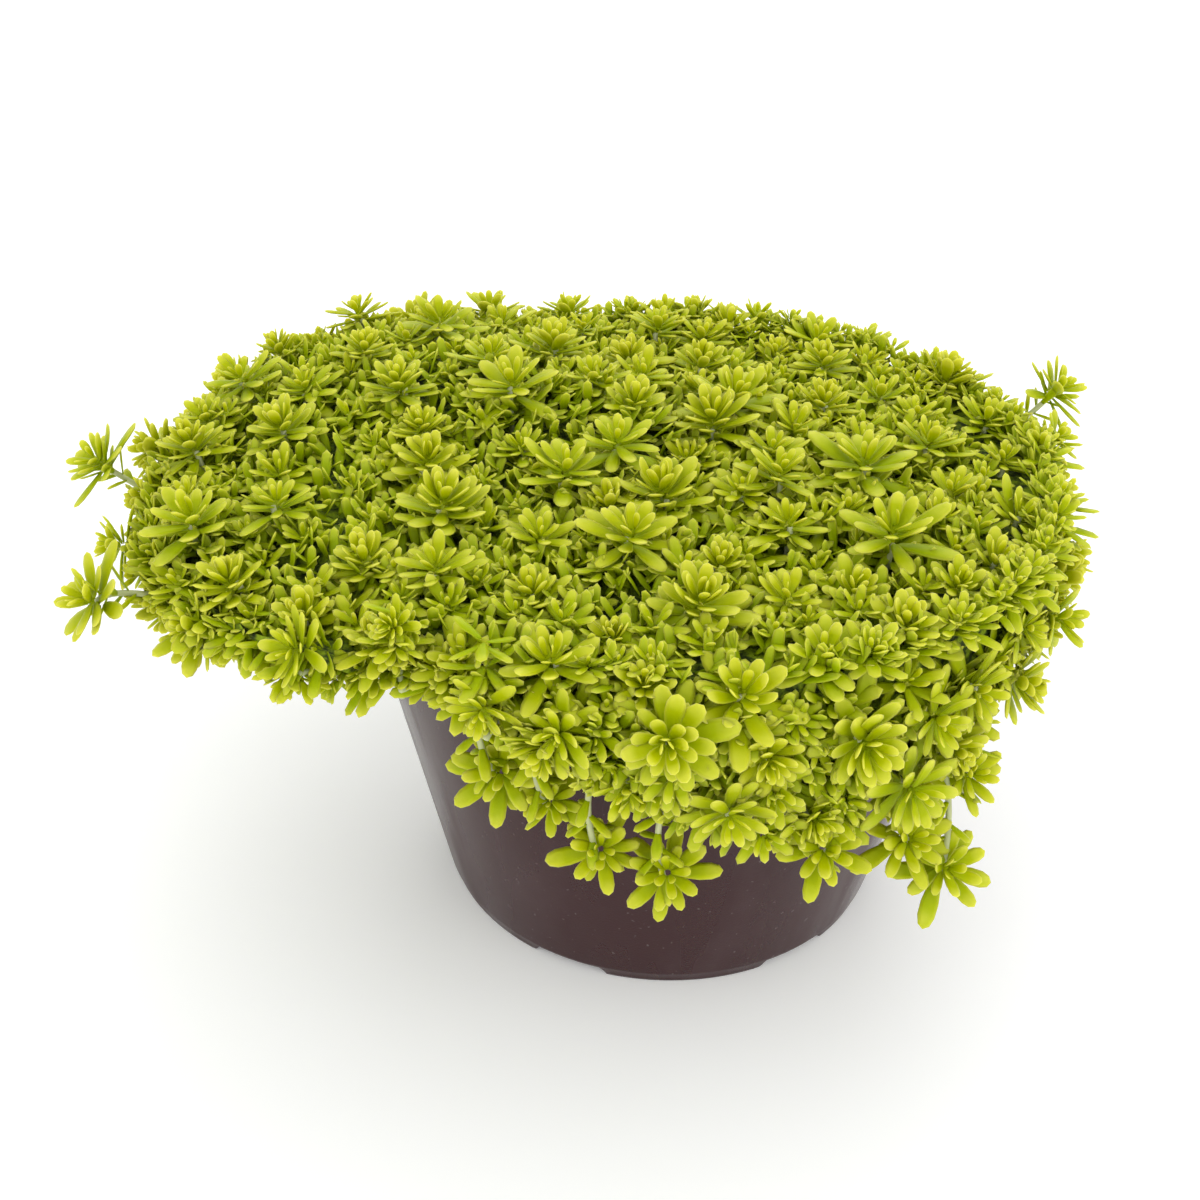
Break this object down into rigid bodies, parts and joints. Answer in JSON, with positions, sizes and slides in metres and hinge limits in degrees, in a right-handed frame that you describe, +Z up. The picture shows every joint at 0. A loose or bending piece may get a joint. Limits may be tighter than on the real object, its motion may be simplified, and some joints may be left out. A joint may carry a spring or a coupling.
{
  "type": "potted stonecrop plant",
  "caption": "Low cushion of yellow-green stonecrop rosettes spilling over the rim of a dark brown plastic nursery bowl.",
  "frame": {"origin": "on the pot's axis at the plane it stands on, at the middle of the pad under its floor", "axes": "+Z up along the pot's axis; -Y towards the viewer of the picture; +X to the viewer's right"},
  "size_m": [0.2872, 0.2478, 0.1556],
  "materials": {
    "pot_plastic": "satin",
    "compost": "matte",
    "foliage": "satin"
  },
  "bodies": {
    "root": {"pot": "pot_plastic", "soil": "compost", "clump_crown": "foliage", "clump_right": "foliage", "clump_back_right": "foliage", "clump_back": "foliage", "clump_back_left": "foliage", "clump_left": "foliage", "clump_front_left": "foliage", "clump_front": "foliage", "clump_front_right": "foliage"}
  },
  "joints": []
}
